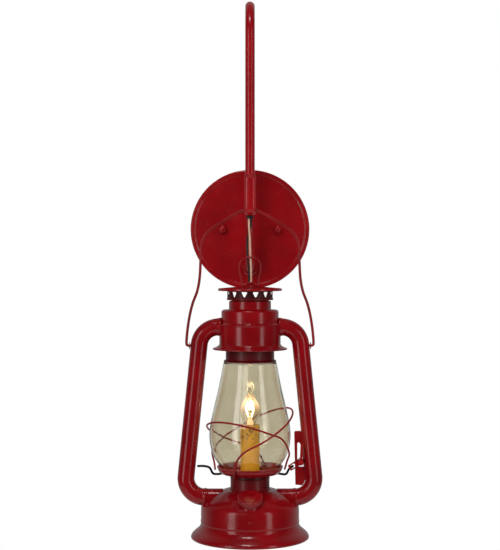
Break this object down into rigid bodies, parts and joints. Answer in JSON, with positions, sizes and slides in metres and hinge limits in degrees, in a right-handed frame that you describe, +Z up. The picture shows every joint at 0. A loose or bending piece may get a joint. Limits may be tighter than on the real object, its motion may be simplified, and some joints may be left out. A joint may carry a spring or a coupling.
{
  "type": "lantern wall sconce",
  "caption": "Red hurricane-lantern wall light: an electrified tubular lantern hangs by its wire bail from a hooked gooseneck arm on a round wall plate.",
  "frame": {"origin": "on the wall, centre of the back face of the mounting strap behind the round wall plate", "axes": "+Z up, +Y into the wall, the light faces -Y, +X to the viewer's right"},
  "size_m": [0.1442, 0.166, 0.5398],
  "materials": {
    "red_enamel": "gloss red enamel",
    "shaded_enamel": "satin dark red enamel",
    "black_wire": "blackened steel wire",
    "zinc_steel": "zinc plated",
    "green_screw": "green ground screw",
    "brass": "plain brass",
    "clear_glass": "clear, faint warm tint",
    "candle_amber": "amber candle sleeve",
    "socket_black": "phenolic black",
    "gasket_rubber": "black rubber",
    "filament": "lit filament",
    "lead_black": "black insulation",
    "lead_cream": "cream insulation"
  },
  "bodies": {
    "wall_arm": {"mounting_strap": "zinc_steel", "wall_plate": "red_enamel", "plate_stud_left": "zinc_steel", "plate_stud_right": "zinc_steel", "ground_screw": "green_screw", "arm_tube": "red_enamel", "arm_collar": "shaded_enamel", "arm_lock_washer": "zinc_steel", "arm_lock_nut": "brass", "bail_hook": "red_enamel", "hook_bushing": "socket_black"},
    "ball_nut_left": {"ball_nut_left": "red_enamel"},
    "ball_nut_right": {"ball_nut_right": "red_enamel"},
    "bail": {"bail": "red_enamel", "lead_black": "lead_black", "lead_cream": "lead_cream"},
    "lantern": {"tank_shell": "red_enamel", "tank_bottom": "shaded_enamel", "burner_neck": "shaded_enamel", "candle_sleeve": "candle_amber", "lamp_socket": "socket_black", "socket_stem": "zinc_steel", "stem_nut": "brass", "filler_neck": "red_enamel", "filler_gasket": "gasket_rubber", "tank_screw": "red_enamel", "crown": "red_enamel", "side_tube_left": "red_enamel", "side_tube_right": "red_enamel", "bail_ear_left": "red_enamel", "bail_ear_right": "red_enamel", "lever_bracket": "red_enamel", "lever_rivet": "red_enamel"},
    "globe_carriage": {"globe": "clear_glass", "globe_plate": "red_enamel", "guard_hoop_low": "red_enamel", "guard_hoop_high": "red_enamel", "lift_wire": "black_wire"},
    "chimney": {"chimney_tube": "shaded_enamel", "vent_ring": "shaded_enamel", "chimney_cap": "red_enamel", "cap_bushing": "red_enamel", "lift_loop": "red_enamel"},
    "lever": {"lever": "shaded_enamel"},
    "bulb": {"bulb_base": "brass", "bulb_glass": "clear_glass", "bulb_filament": "filament"},
    "filler_cap": {"filler_cap": "red_enamel"}
  },
  "joints": [
    {"name": "bail_swing", "type": "hinge", "parent": "wall_arm", "child": "bail", "pos_m": [0, -0.107, 0.0173], "axis": [1, 0, 0], "range_deg": [-10, 5], "deforming": ["lead_black", "lead_cream"]},
    {"name": "lantern_tilt", "type": "hinge", "parent": "bail", "child": "lantern", "pos_m": [0, -0.107, -0.1185], "axis": [1, 0, 0], "range_deg": [-6, 3]},
    {"name": "lever_turn", "type": "hinge", "parent": "lantern", "child": "lever", "pos_m": [0.0505, -0.107, -0.234], "axis": [0, 1, 0], "range_deg": [0, 62]},
    {"name": "globe_raise", "type": "slide", "parent": "lantern", "child": "globe_carriage", "axis": [0, 0, 1], "range_m": [0, 0.01]},
    {"name": "chimney_raise", "type": "slide", "parent": "globe_carriage", "child": "chimney", "axis": [0, 0, 1], "range_m": [0, 0.014]},
    {"name": "bulb_screw", "type": "hinge", "parent": "lantern", "child": "bulb", "pos_m": [0, -0.107, -0.2], "axis": [0, 0, 1], "continuous": true},
    {"name": "filler_cap_turn", "type": "hinge", "parent": "lantern", "child": "filler_cap", "pos_m": [0, -0.1445, -0.272], "axis": [0, -0.4067, 0.9135], "continuous": true},
    {"name": "ball_nut_left_turn", "type": "hinge", "parent": "wall_arm", "child": "ball_nut_left", "pos_m": [-0.0295, -0.02, 0], "axis": [0, -1, 0], "continuous": true},
    {"name": "ball_nut_right_turn", "type": "hinge", "parent": "wall_arm", "child": "ball_nut_right", "pos_m": [0.0295, -0.02, 0], "axis": [0, -1, 0], "continuous": true}
  ],
  "couplings": [
    {"joint": "lever_turn", "follows": "globe_raise", "rad_per_m": 108}
  ]
}
